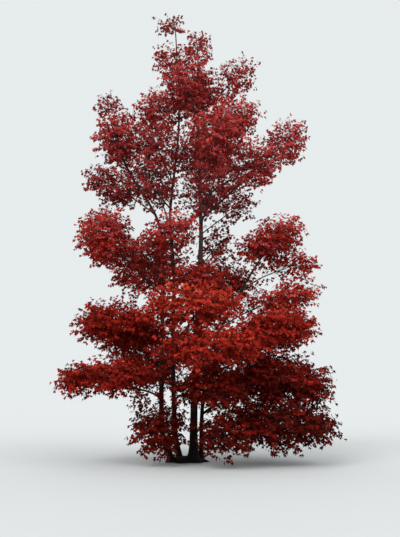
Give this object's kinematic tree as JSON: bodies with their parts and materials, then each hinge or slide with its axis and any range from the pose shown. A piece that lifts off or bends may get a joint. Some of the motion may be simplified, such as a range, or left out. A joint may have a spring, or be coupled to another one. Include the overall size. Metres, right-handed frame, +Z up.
{
  "type": "deciduous tree in autumn leaf",
  "caption": "Red maple in autumn leaf: slender stems from one low stool, boughs and layered masses of crimson leaves with gaps between them.",
  "frame": {"origin": "middle of the flat cut at ground level under the main stem", "axes": "+Z up along the main stem, -Y towards the viewer, +X to the viewer's right"},
  "size_m": [7.1007, 6.2271, 13.0222],
  "materials": {
    "bark": "rough grey-brown bark, nearly black low down",
    "leaves": "thin matt crimson autumn leaves with a faint sheen"
  },
  "bodies": {
    "root": {"trunk": "bark", "stem_left": "bark", "stem_middle": "bark", "stem_right": "bark", "bough_right_far": "bark", "bough_left_spray": "bark", "bough_right_skirt": "bark", "bough_centre_skirt": "bark", "bough_centre_skirt_low": "bark", "bough_left_skirt": "bark", "bough_left_long_spray": "bark", "bough_right_low": "bark", "bough_right_lowest": "bark", "bough_back_low_left": "bark", "bough_back_low_right": "bark", "bough_back_mid_left": "bark", "bough_back_mid_right": "bark", "top_tuft": "leaves", "right_peak": "leaves", "left_peak": "leaves", "upper_front": "leaves", "upper_back": "leaves", "upper_right": "leaves", "left_shoulder": "leaves", "right_shoulder": "leaves", "left_spire": "leaves", "left_mass": "leaves", "centre_front": "leaves", "centre_back": "leaves", "mid_left": "leaves", "right_far": "leaves", "right_mid": "leaves", "lower_mid_front": "leaves", "lower_mid_back": "leaves", "left_low": "leaves", "left_centre_low": "leaves", "left_centre_back": "leaves", "loose_right": "leaves", "loose_centre": "leaves", "left_spray": "leaves", "left_band": "leaves", "centre_left_spray": "leaves", "centre_spray": "leaves", "right_spray": "leaves", "right_tail": "leaves", "right_skirt_high": "leaves", "right_skirt": "leaves", "centre_skirt": "leaves", "centre_skirt_low": "leaves", "left_skirt": "leaves", "left_long_spray": "leaves", "low_centre": "leaves", "low_front": "leaves", "right_low": "leaves", "right_lowest": "leaves", "low_left": "leaves", "back_low_left": "leaves", "back_low_right": "leaves", "back_mid_left": "leaves", "back_mid_right": "leaves"}
  },
  "joints": []
}
